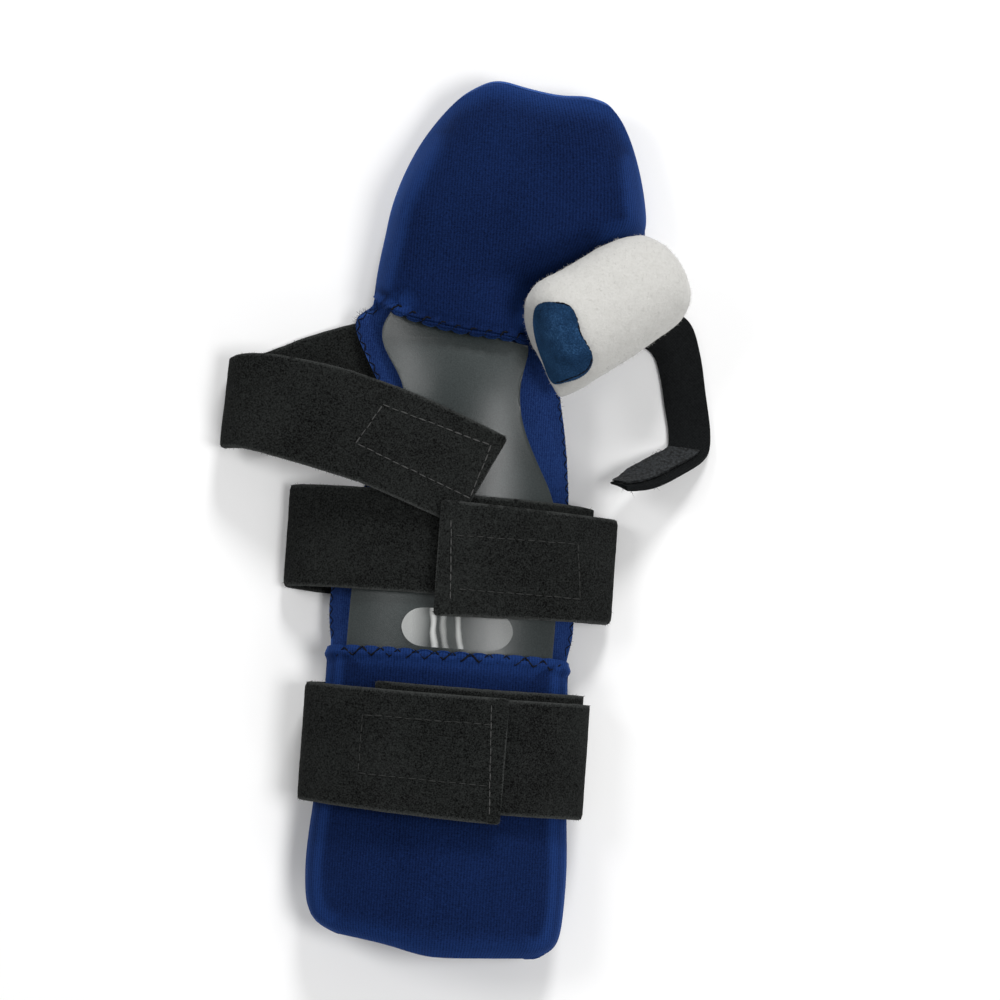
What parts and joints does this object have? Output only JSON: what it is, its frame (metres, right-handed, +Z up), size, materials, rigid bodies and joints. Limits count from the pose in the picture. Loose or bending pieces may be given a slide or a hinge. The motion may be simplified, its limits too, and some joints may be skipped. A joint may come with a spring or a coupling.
{
  "type": "hand orthosis",
  "caption": "Resting splint for a right hand: a stiff shell between a padded panel and fabric pockets, with wide wrap straps and a soft roll under the thumb.",
  "frame": {"origin": "under the middle of the forearm strap, on the surface that the splint lies on", "axes": "+Y along the arm towards the fingertips, +X towards the thumb, +Z up from the surface, out of the splint's outer side"},
  "size_m": [0.1778, 0.3157, 0.0613],
  "materials": {
    "neoprene_cover": "knit-faced neoprene",
    "neoprene_panel": "knit-faced neoprene",
    "shell_grey": "fine haircell grain",
    "strap_pile": "brushed loop pile",
    "thumb_webbing": "smooth laminated strap",
    "hook_patch": "moulded hooks",
    "fleece": "short fleece",
    "velour_tab": "brushed velour",
    "label_film": "clear glossy film"
  },
  "bodies": {
    "root": {"back_panel": "neoprene_panel", "shell": "shell_grey", "hand_pocket": "neoprene_cover", "forearm_pocket": "neoprene_cover", "wrist_strap": "strap_pile", "middle_strap": "strap_pile", "forearm_strap": "strap_pile", "thumb_strap": "thumb_webbing", "thumb_strap_hook": "hook_patch", "size_label": "label_film", "thumb_roll": "fleece", "roll_tab": "velour_tab"}
  },
  "joints": []
}
